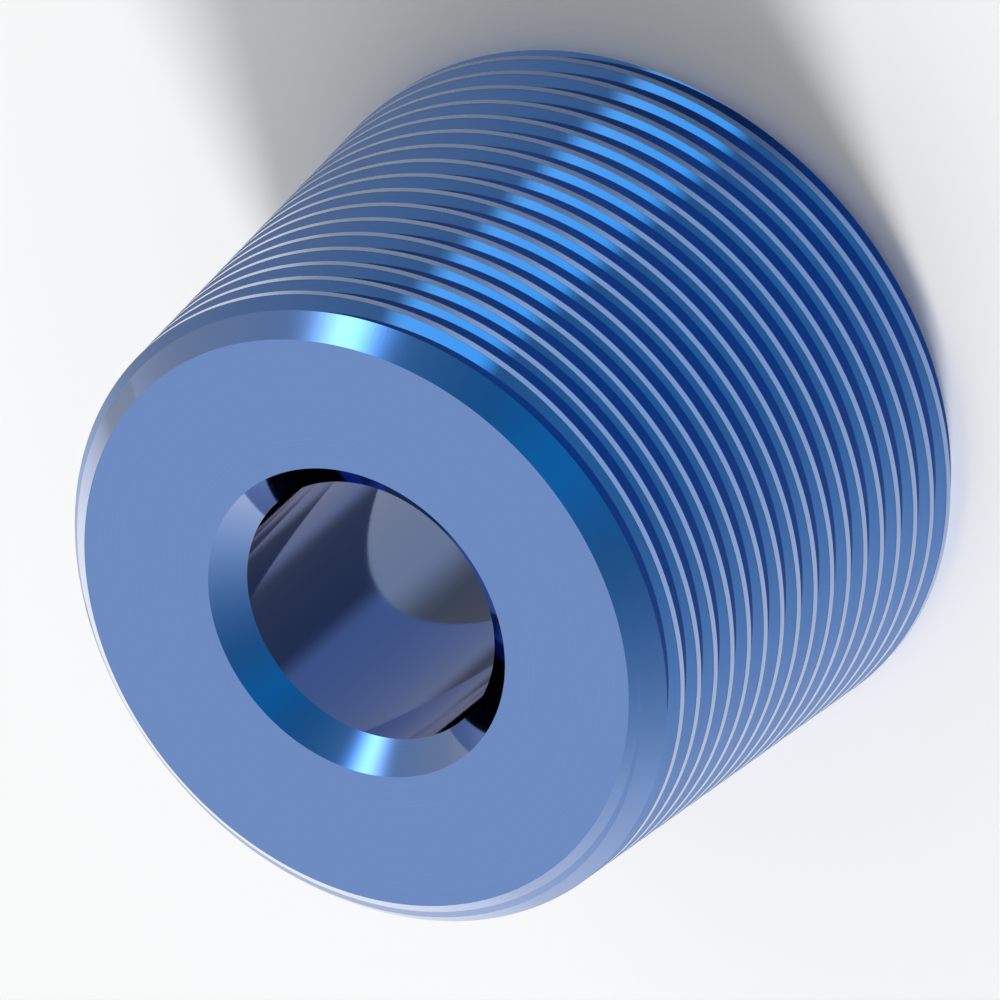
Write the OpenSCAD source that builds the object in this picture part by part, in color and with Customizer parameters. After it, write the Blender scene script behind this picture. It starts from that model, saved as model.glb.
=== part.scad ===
// Threaded taper bushing: one turned piece with a fine 55 degree thread on a
// 1:8 cone and a plain bore right through it. It stands on its large end,
// +Z runs up the axis to the small end, and the origin is the centre of the
// large end face. Sizes are in millimetres.

/* [Body] */
// Length between the two end faces
length = 20; // [16:1:28]
// Diameter over the thread crests at the small end
small_d = 24; // [22:1:30]
// Length in which the diameter grows by one unit: 8 gives a taper of 1:8
taper = 8; // [8:1:16]
// Diameter of the bore
bore_d = 10; // [6:0.5:12]
// Chamfer on the four end edges, inside and outside
chamfer = 1; // [0.6:0.1:1.2]

/* [Thread] */
// Distance from crest to crest along the axis
pitch = 1.05; // [0.75:0.05:1.5]
// Width of the flat crests
crest_w = 0.25; // [0.15:0.05:0.35]
// Angle between the two flanks of a groove
flank_angle = 55; // [50:1:60]
// Distance from the small end face to the root of the first full groove, on the +Y side
first_root = 1.16; // [0.9:0.02:1.6]

/* [Hidden] */
$fn = 144;

bore_r = bore_d / 2;
small_r = small_d / 2;
large_r = small_r + length / taper / 2;
groove_w = pitch - crest_w;
groove_depth = groove_w / 2 / tan(flank_angle / 2);
// How far a groove's cutter stands out of the crests
overcut = 0.1;
// How much shallower the half turns on the far side are cut, so that the sharp
// roots of two neighbours never end on one and the same point
far_step = 0.02;

// Radius of the crest cone at height z
function crest_r(z) = large_r - z / taper / 2;

// The plain turned blank: the crest cone, the two end faces, the bore and
// the four chamfers, as one revolved half-section
module blank() {
    rotate_extrude()
        polygon([
            [bore_r, chamfer],
            [bore_r + chamfer, 0],
            [large_r - chamfer, 0],
            [crest_r(chamfer), chamfer],
            [crest_r(length - chamfer), length - chamfer],
            [small_r - chamfer, length],
            [bore_r + chamfer, length],
            [bore_r, length - chamfer]
        ]);
}

// Half a turn of the V groove, over the +Y side, with its root at height z in
// the middle. It is a half ring, tilted so that it climbs half a pitch from
// +X to -X, as a right-hand thread does, and set off the axis so that its two
// ends lie as deep under the cone as its middle.
module half_turn(z, depth) {
    rise = pitch / 4;
    root_r = crest_r(z) - depth;
    tilt = atan(rise / root_r);
    ring_r = root_r / cos(tilt);
    mouth = (depth + overcut) * tan(flank_angle / 2);
    translate([rise / taper / 2, 0, z])
        rotate([0, tilt, 0])
            rotate_extrude(angle = 180)
                polygon([
                    [ring_r, 0],
                    [ring_r + depth + overcut, -mouth],
                    [ring_r + depth + overcut, mouth]
                ]);
}

// The right-hand thread groove, as half turns that meet end to end on the X
// axis and run out past both end chamfers
module thread_groove() {
    above = ceil(2 * first_root / pitch);
    below = ceil(2 * (length - first_root) / pitch);
    for (i = [-above : below]) {
        far = abs(i % 2);
        rotate([0, 0, 180 * far])
            half_turn(length - first_root - i * pitch / 2, groove_depth - far_step * far);
    }
}

// The bushing: the blank with the thread cut into its cone. The blank's own
// seam is turned away from where the half turns meet.
module bushing() {
    color([0.13, 0.33, 0.66])
        difference() {
            rotate([0, 0, 90]) blank();
            thread_groove();
        }
}

bushing();
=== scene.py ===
import math
from functools import partial

import bpy
from mathutils import Matrix, Vector


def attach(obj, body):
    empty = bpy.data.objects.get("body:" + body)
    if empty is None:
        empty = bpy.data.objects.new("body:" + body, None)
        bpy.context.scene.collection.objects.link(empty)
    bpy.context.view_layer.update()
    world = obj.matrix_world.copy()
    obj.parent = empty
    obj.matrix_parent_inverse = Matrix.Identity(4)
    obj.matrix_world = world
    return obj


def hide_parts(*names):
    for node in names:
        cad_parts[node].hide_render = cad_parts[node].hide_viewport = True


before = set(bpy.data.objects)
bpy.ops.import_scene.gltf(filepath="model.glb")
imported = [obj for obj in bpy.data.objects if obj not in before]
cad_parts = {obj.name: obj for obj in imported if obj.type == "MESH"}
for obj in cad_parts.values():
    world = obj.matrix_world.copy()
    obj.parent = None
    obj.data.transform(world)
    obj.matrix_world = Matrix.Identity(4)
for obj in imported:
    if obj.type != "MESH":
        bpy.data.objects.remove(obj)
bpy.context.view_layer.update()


# The blank is a short bar of aluminium, faced to length, bored right through and turned on
# the outside to a 1:8 cone. All four end edges carry a 45 degree chamfer. It stands on its
# large end.
length = 0.020
small_radius = 0.012
taper = 8.0
bore_radius = 0.005
chamfer = 0.001
steps_per_turn = 360

large_radius = small_radius + length / taper / 2


def cone_radius(height):
    return large_radius - height / taper / 2


def turned_blank(name, outline, steps):
    points = []
    for step in range(steps):
        angle = 2 * math.pi * step / steps
        for radius, height in outline:
            points.append((radius * math.cos(angle), radius * math.sin(angle), height))
    faces = []
    count = len(outline)
    for step in range(steps):
        here = step * count
        there = (step + 1) % steps * count
        for corner in range(count):
            after = (corner + 1) % count
            faces.append((here + corner, there + corner, there + after, here + after))
    mesh = bpy.data.meshes.new(name)
    mesh.from_pydata(points, [], faces)
    blank = bpy.data.objects.new(name, mesh)
    bpy.context.scene.collection.objects.link(blank)
    return blank


bushing = turned_blank(
    "threaded_bushing",
    [
        (bore_radius, chamfer),
        (bore_radius + chamfer, 0.0),
        (large_radius - chamfer, 0.0),
        (cone_radius(chamfer), chamfer),
        (cone_radius(length - chamfer), length - chamfer),
        (small_radius - chamfer, length),
        (bore_radius + chamfer, length),
        (bore_radius, length - chamfer),
    ],
    steps_per_turn,
)


# The thread is one fine right-hand groove, cut on the lathe by a 55 degree tool that follows
# the cone and runs out past both ends. It leaves narrow flat crests and a sharp root.
pitch = 0.00105
crest_width = 0.00025
first_root = 0.00116
turns_below = 19
turns_above = 2
thread_sizes = {
    "Large radius": large_radius,
    "Taper": taper,
    "Pitch": pitch,
    "Crest width": crest_width,
    "Flank angle": math.radians(55),
    "Start height": length - first_root - turns_below * pitch,
    "Start angle": math.radians(90),
    "Tool overlap": 0.0002,
    "Turns": turns_below + turns_above,
    "Steps per turn": steps_per_turn,
    "Edge limit": math.radians(8),
}


def worked_out(tree, operation, *values):
    made = tree.nodes.new("ShaderNodeMath")
    made.operation = operation
    for socket, value in zip(made.inputs, values):
        if isinstance(value, bpy.types.NodeSocket):
            tree.links.new(value, socket)
        else:
            socket.default_value = value
    return made.outputs[0]


def thread_cutting_tree():
    tree = bpy.data.node_groups.new("thread cutting", "GeometryNodeTree")
    face = tree.interface
    face.new_socket("Geometry", in_out="INPUT", socket_type="NodeSocketGeometry")
    for name, value in thread_sizes.items():
        kind = "NodeSocketInt" if isinstance(value, int) else "NodeSocketFloat"
        face.new_socket(name, in_out="INPUT", socket_type=kind).default_value = value
    face.new_socket("Material", in_out="INPUT", socket_type="NodeSocketMaterial")
    face.new_socket("Geometry", in_out="OUTPUT", socket_type="NodeSocketGeometry")
    size = tree.nodes.new("NodeGroupInput").outputs
    link = tree.links.new
    sum_of = partial(worked_out, tree)

    def node(kind, **settings):
        made = tree.nodes.new(kind)
        for name, value in settings.items():
            setattr(made, name, value)
        return made

    # The depth of a full groove follows from its width at the crests and its flank angle.
    half_flank = sum_of("TANGENT", sum_of("DIVIDE", size["Flank angle"], 2.0))
    groove_width = sum_of("SUBTRACT", size["Pitch"], size["Crest width"])
    depth = sum_of("DIVIDE", sum_of("DIVIDE", groove_width, 2.0), half_flank)

    # The root line climbs one pitch a turn, and stays one depth below the cone.
    turn = sum_of("DIVIDE", node("GeometryNodeInputIndex").outputs[0], size["Steps per turn"])
    angle = sum_of("ADD", size["Start angle"], sum_of("MULTIPLY", turn, 2 * math.pi))
    height = sum_of("ADD", size["Start height"], sum_of("MULTIPLY", turn, size["Pitch"]))
    slope = sum_of("MULTIPLY", size["Taper"], 2.0)
    cone = sum_of("SUBTRACT", size["Large radius"], sum_of("DIVIDE", height, slope))
    radius = sum_of("SUBTRACT", cone, depth)
    place = node("ShaderNodeCombineXYZ")
    link(sum_of("MULTIPLY", radius, sum_of("COSINE", angle)), place.inputs["X"])
    link(sum_of("MULTIPLY", radius, sum_of("SINE", angle)), place.inputs["Y"])
    link(height, place.inputs["Z"])
    points = sum_of("ADD", sum_of("MULTIPLY", size["Turns"], size["Steps per turn"]), 1.0)
    line = node("GeometryNodeCurvePrimitiveLine")
    path = node("GeometryNodeResampleCurve")
    link(line.outputs["Curve"], path.inputs["Curve"])
    link(points, path.inputs["Count"])
    helix = node("GeometryNodeSetPosition")
    link(path.outputs["Curve"], helix.inputs["Geometry"])
    link(place.outputs["Vector"], helix.inputs["Position"])
    upright = node("GeometryNodeSetCurveNormal", mode="Z_UP")
    link(helix.outputs["Geometry"], upright.inputs["Curve"])

    # The tool's point is a triangle of three points with its tip on the root line. A three
    # point circle of radius 1 is 1.5 high and the root of 3 wide.
    tool_height = sum_of("ADD", depth, size["Tool overlap"])
    tool_width = sum_of("MULTIPLY", tool_height, half_flank)
    tip = node("GeometryNodeCurvePrimitiveCircle")
    tip.inputs["Resolution"].default_value = 3
    tip.inputs["Radius"].default_value = 1.0
    centred = node("GeometryNodeTransform")
    centred.inputs["Translation"].default_value = (1.0, 0.0, 0.0)
    centred.inputs["Rotation"].default_value = (0.0, 0.0, math.pi)
    link(tip.outputs["Curve"], centred.inputs["Geometry"])
    stretch = node("ShaderNodeCombineXYZ")
    link(sum_of("DIVIDE", tool_height, 1.5), stretch.inputs["X"])
    link(sum_of("DIVIDE", tool_width, math.sqrt(3) / 2), stretch.inputs["Y"])
    stretch.inputs["Z"].default_value = 1.0
    shaped = node("GeometryNodeTransform")
    link(centred.outputs["Geometry"], shaped.inputs["Geometry"])
    link(stretch.outputs["Vector"], shaped.inputs["Scale"])
    cutter = node("GeometryNodeCurveToMesh")
    cutter.inputs["Fill Caps"].default_value = True
    link(upright.outputs["Curve"], cutter.inputs["Curve"])
    link(shaped.outputs["Geometry"], cutter.inputs["Profile Curve"])
    cut = node("GeometryNodeMeshBoolean", operation="DIFFERENCE", solver="MANIFOLD")
    link(size["Geometry"], cut.inputs["Mesh 1"])
    link(cutter.outputs["Mesh"], cut.inputs["Mesh 2"])

    # Every edge that the tools leave is crisp, and the turned surfaces between are smooth.
    smooth = node("GeometryNodeSetShadeSmooth", domain="FACE")
    link(cut.outputs["Mesh"], smooth.inputs["Geometry"])
    bend = node("GeometryNodeInputMeshEdgeAngle")
    crisp = node("FunctionNodeCompare", data_type="FLOAT", operation="GREATER_THAN")
    link(bend.outputs["Unsigned Angle"], crisp.inputs["A"])
    link(size["Edge limit"], crisp.inputs["B"])
    edges = node("GeometryNodeSetShadeSmooth", domain="EDGE")
    edges.inputs["Shade Smooth"].default_value = False
    link(smooth.outputs["Geometry"], edges.inputs["Geometry"])
    link(crisp.outputs["Result"], edges.inputs["Selection"])
    realize = node("GeometryNodeRealizeInstances")
    link(edges.outputs["Geometry"], realize.inputs["Geometry"])
    finish = node("GeometryNodeSetMaterial")
    link(realize.outputs["Geometry"], finish.inputs["Geometry"])
    link(size["Material"], finish.inputs["Material"])
    out = node("NodeGroupOutput")
    link(finish.outputs["Geometry"], out.inputs["Geometry"])
    return tree


# The metal is polished aluminium under a clear blue dye: deep blue looked at square on, and
# nearly white at a flat angle. Inside the bore the colour has a painted warmer, greyer tint for
# the light mirrored there. The under flank of each turn is darkened by painted shade, and the
# narrow crests a little by painted shade too.
square_on_colour = (0.0094, 0.235, 0.794, 1.0)
flat_angle_colour = (0.82, 0.85, 0.955, 1.0)
colour_bend = 0.9
# Painted tint inside the bore: warmer and greyer, standing for the light mirrored there.
bore_painted_tint = (1.08, 1.0, 0.93, 1.0)
bore_limit = bore_radius * 1.01
# Painted shade: the under flank of each turn is darkened.
under_flank_painted_shade = (0.45, 0.33, 0.30, 1.0)
under_flank_lean = -0.8
lowest_flank = 0.0002
# Painted shade: the crests are darkened a little.
crest_painted_shade = (0.74, 0.74, 0.74, 1.0)
crest_limit = large_radius - 0.00002

# Faint rings from the turning run round every face, closer than a tenth of a millimetre.
rings_per_metre = 12000.0
ring_shade = 0.97
ring_shade_change = 0.06
ring_roughness = 0.035
ring_roughness_change = 0.03
ring_relief = 0.00000008


def blue_anodised_aluminium():
    metal = bpy.data.materials.new("blue anodised aluminium")
    metal.use_nodes = True
    tree = metal.node_tree
    link = tree.links.new
    step = partial(worked_out, tree)
    shader = tree.nodes["Principled BSDF"]
    shader.inputs["Metallic"].default_value = 1.0

    def tinted(colour, where, tint):
        made = tree.nodes.new("ShaderNodeMix")
        made.data_type = "RGBA"
        made.blend_type = "MULTIPLY"
        made.inputs["B"].default_value = tint
        link(where, made.inputs["Factor"])
        link(colour, made.inputs["A"])
        return made.outputs["Result"]

    facing = tree.nodes.new("ShaderNodeLayerWeight")
    facing.inputs["Blend"].default_value = 0.5
    dye = tree.nodes.new("ShaderNodeMix")
    dye.data_type = "RGBA"
    dye.inputs["A"].default_value = square_on_colour
    dye.inputs["B"].default_value = flat_angle_colour
    link(step("POWER", facing.outputs["Facing"], colour_bend), dye.inputs["Factor"])

    spot = tree.nodes.new("ShaderNodeTexCoord")
    apart = tree.nodes.new("ShaderNodeSeparateXYZ")
    link(spot.outputs["Object"], apart.inputs[0])
    lean = tree.nodes.new("ShaderNodeSeparateXYZ")
    link(spot.outputs["Normal"], lean.inputs[0])
    height = apart.outputs["Z"]
    squares = [step("POWER", apart.outputs[axis], 2.0) for axis in ("X", "Y")]
    from_axis = step("SQRT", step("ADD", *squares))

    in_bore = step("LESS_THAN", from_axis, bore_limit)
    facing_down = step("LESS_THAN", lean.outputs["Z"], under_flank_lean)
    off_the_base = step("GREATER_THAN", height, lowest_flank)
    under_flank = step("MULTIPLY", facing_down, off_the_base)
    cone = step("ADD", from_axis, step("DIVIDE", height, taper * 2))
    on_crest = step("GREATER_THAN", cone, crest_limit)
    # Painted tint inside the bore.
    colour = tinted(dye.outputs["Result"], in_bore, bore_painted_tint)
    # Painted shade on the under flanks.
    colour = tinted(colour, under_flank, under_flank_painted_shade)
    # Painted shade on the crests.
    colour = tinted(colour, on_crest, crest_painted_shade)

    rings = tree.nodes.new("ShaderNodeTexNoise")
    rings.noise_dimensions = "1D"
    rings.inputs["Scale"].default_value = 1.0
    rings.inputs["Detail"].default_value = 2.0
    link(step("MULTIPLY", step("ADD", from_axis, height), rings_per_metre), rings.inputs["W"])
    ring = rings.outputs["Fac"]
    ringed = tree.nodes.new("ShaderNodeVectorMath")
    ringed.operation = "SCALE"
    link(colour, ringed.inputs[0])
    shade = step("ADD", step("MULTIPLY", ring, ring_shade_change), ring_shade)
    link(shade, ringed.inputs["Scale"])
    link(ringed.outputs["Vector"], shader.inputs["Base Color"])
    roughness = step("ADD", step("MULTIPLY", ring, ring_roughness_change), ring_roughness)
    link(roughness, shader.inputs["Roughness"])
    bump = tree.nodes.new("ShaderNodeBump")
    bump.inputs["Strength"].default_value = 1.0
    bump.inputs["Distance"].default_value = ring_relief
    link(ring, bump.inputs["Height"])
    link(bump.outputs["Normal"], shader.inputs["Normal"])
    return metal


# The blank goes into the lathe with its metal on it, and comes out as the finished bushing.
metal = blue_anodised_aluminium()
bushing.data.materials.append(metal)
thread = bushing.modifiers.new("thread", "NODES")
thread.node_group = thread_cutting_tree()
wanted = thread_sizes | {"Material": metal}
for item in thread.node_group.interface.items_tree:
    if item.in_out == "INPUT" and item.name in wanted:
        thread[item.identifier] = wanted[item.name]
ready = bushing.evaluated_get(bpy.context.evaluated_depsgraph_get())
threaded = bpy.data.meshes.new_from_object(ready)
bushing.modifiers.remove(thread)
bushing.data = threaded
threaded.name = "threaded_bushing"
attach(bushing, "root")
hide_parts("bushing")


# The floor is a wide round sheet of matt pale card. Under the bore it has a round hole, hidden
# by the large end, so that daylight from below comes up through the bushing.
floor_radius = 1.5
hole_radius = bore_radius + 2 * chamfer
corners = 96

# The card is even and pale in the picture. Outside it the card carries painted shade that
# darkens it softly, more on the left, so that the polished rim mirrors no hard horizon.
card_shade = 0.93
far_start = 0.045
far_end = 0.180
far_painted_shade = 0.77
left_start = -0.025
left_end = -0.100
left_painted_shade = 0.54


def ranged(tree, value, kind, from_min, from_max, to_min, to_max):
    made = tree.nodes.new("ShaderNodeMapRange")
    made.interpolation_type = kind
    tree.links.new(value, made.inputs["Value"])
    made.inputs["From Min"].default_value = from_min
    made.inputs["From Max"].default_value = from_max
    made.inputs["To Min"].default_value = to_min
    made.inputs["To Max"].default_value = to_max
    return made.outputs["Result"]


def pale_card():
    card = bpy.data.materials.new("pale card")
    card.use_nodes = True
    tree = card.node_tree
    link = tree.links.new
    spot = tree.nodes.new("ShaderNodeTexCoord").outputs["Object"]
    out = tree.nodes.new("ShaderNodeVectorMath")
    out.operation = "LENGTH"
    link(spot, out.inputs[0])
    apart = tree.nodes.new("ShaderNodeSeparateXYZ")
    link(spot, apart.inputs[0])
    distance = out.outputs["Value"]
    # Painted shade: the card's colour falls off away from the bushing and towards the left.
    far = ranged(tree, distance, "LINEAR", far_start, far_end, card_shade, card_shade * far_painted_shade)
    left = ranged(tree, apart.outputs["X"], "LINEAR", left_start, left_end, 1.0, left_painted_shade)
    shader = tree.nodes["Principled BSDF"]
    link(worked_out(tree, "MULTIPLY", far, left), shader.inputs["Base Color"])
    shader.inputs["Roughness"].default_value = 1.0
    shader.inputs["Specular IOR Level"].default_value = 0.0
    return card


floor_points = []
floor_faces = []
for corner in range(corners):
    turn = 2 * math.pi * corner / corners
    for radius in (hole_radius, floor_radius):
        floor_points.append((radius * math.cos(turn), radius * math.sin(turn), 0.0))
    after = (corner + 1) % corners
    floor_faces.append((2 * corner, 2 * corner + 1, 2 * after + 1, 2 * after))
floor_mesh = bpy.data.meshes.new("floor")
floor_mesh.from_pydata(floor_points, [], floor_faces)
floor = bpy.data.objects.new("floor", floor_mesh)
bpy.context.scene.collection.objects.link(floor)
floor_mesh.materials.append(pale_card())


# The light is that of a pale studio: a faint even level, a broad glow low on the left and a
# stronger one on the right, and soft windows that the polished faces mirror. A glow is given
# by its azimuth, elevation and spread in degrees and its strength.
room_level = 0.06
glows = {
    "left wall": (-75.0, 5.0, 38.5, 0.33),
    "right wall": (128.0, 0.0, 53.0, 0.62),
    "front window": (5.0, 57.0, 11.7, 0.34),
    "back window": (150.0, 65.0, 10.3, 2.35),
    "back wall, right": (165.0, 5.0, 22.0, 0.17),
    "back wall, left": (-157.0, 2.0, 14.0, 0.40),
    "low left window": (-76.2, 31.6, 5.5, 3.0),
}

# A pane has a clearer edge: azimuth, elevation, inner and outer radius in degrees, strength.
# One is high on the left. The other is the daylight from below, seen only through the hole in
# the floor, in directions steeper than any that pass over the floor.
high_window = (-73.5, 66.2, 6.0, 11.0, 0.9)
high_tint = (0.62, 0.97, 0.92)
below_level = 0.12
below_window = (89.0, -49.0, 53.0, 72.0, 0.26)
steepest_over_floor = -0.1


def heading(azimuth, elevation):
    turn = math.radians(azimuth)
    lift = math.radians(elevation)
    return (math.sin(turn) * math.cos(lift), math.cos(turn) * math.cos(lift), math.sin(lift))


def pale_room():
    room = bpy.data.worlds.new("pale room")
    room.use_nodes = True
    tree = room.node_tree
    link = tree.links.new
    step = partial(worked_out, tree)
    way = tree.nodes.new("ShaderNodeTexCoord").outputs["Generated"]

    def along(direction):
        made = tree.nodes.new("ShaderNodeVectorMath")
        made.operation = "DOT_PRODUCT"
        link(way, made.inputs[0])
        made.inputs[1].default_value = direction
        return made.outputs["Value"]

    def pane(azimuth, elevation, inner, outer, strength):
        edge = math.cos(math.radians(outer))
        full = math.cos(math.radians(inner))
        near = along(heading(azimuth, elevation))
        return ranged(tree, near, "SMOOTHSTEP", edge, full, 0.0, strength)

    above = room_level
    for azimuth, elevation, spread, strength in glows.values():
        narrow = 1 / math.radians(spread) ** 2
        apart = step("SUBTRACT", along(heading(azimuth, elevation)), 1.0)
        glow = step("EXPONENT", step("MULTIPLY", apart, narrow))
        above = step("ADD", above, step("MULTIPLY", glow, strength))
    below = step("ADD", pane(*below_window), below_level)
    over_floor = step("GREATER_THAN", along((0.0, 0.0, 1.0)), steepest_over_floor)
    light = step("ADD", below, step("MULTIPLY", step("SUBTRACT", above, below), over_floor))
    sky = tree.nodes.new("ShaderNodeVectorMath")
    sky.operation = "MULTIPLY_ADD"
    link(pane(*high_window), sky.inputs[0])
    sky.inputs[1].default_value = high_tint
    link(light, sky.inputs[2])
    link(sky.outputs["Vector"], tree.nodes["Background"].inputs["Color"])
    return room


bpy.context.scene.world = pale_room()


# The main lamp is a large round soft box, far off on the right, that throws a soft shadow to
# the left. It stands where none of the polished faces mirrors it to the camera.
lamp_azimuth = 114.0
lamp_elevation = 27.7
lamp_width = 17.0
lamp_strength = 3.08
lamp = bpy.data.lights.new("soft box", "SUN")
lamp.angle = math.radians(lamp_width)
lamp.energy = lamp_strength
soft_box = bpy.data.objects.new("soft box", lamp)
soft_box.location = Vector(heading(lamp_azimuth, lamp_elevation))
soft_box.rotation_euler = soft_box.location.to_track_quat("Z", "Y").to_euler()
bpy.context.scene.collection.objects.link(soft_box)


# The camera looks down on the small end along parallel lines, at the photograph's angle: the
# bushing's axis is level in the picture, turned 30 degrees and seen from 30 degrees above. The
# small end lies to the left of the middle.
picture_width = 0.035
shift_right = 0.005020
shift_up = 0.004298
camera_distance = 0.3
across = Vector((0.65465, 0.56695, -0.5))
upward = Vector((-0.75593, 0.49099, -0.43301))
toward = Vector((0.0, 0.66144, 0.75))
middle = Vector((0.0, 0.0, length)) + across * shift_right + upward * shift_up
lens = bpy.data.cameras.new("camera")
lens.type = "ORTHO"
lens.ortho_scale = picture_width
lens.clip_start = 0.001
lens.clip_end = 10.0
camera = bpy.data.objects.new("camera", lens)
camera.location = middle + toward * camera_distance
camera.rotation_euler = Matrix((across, upward, toward)).transposed().to_euler()
bpy.context.scene.collection.objects.link(camera)
bpy.context.scene.camera = camera
bpy.context.scene.view_settings.view_transform = "Standard"
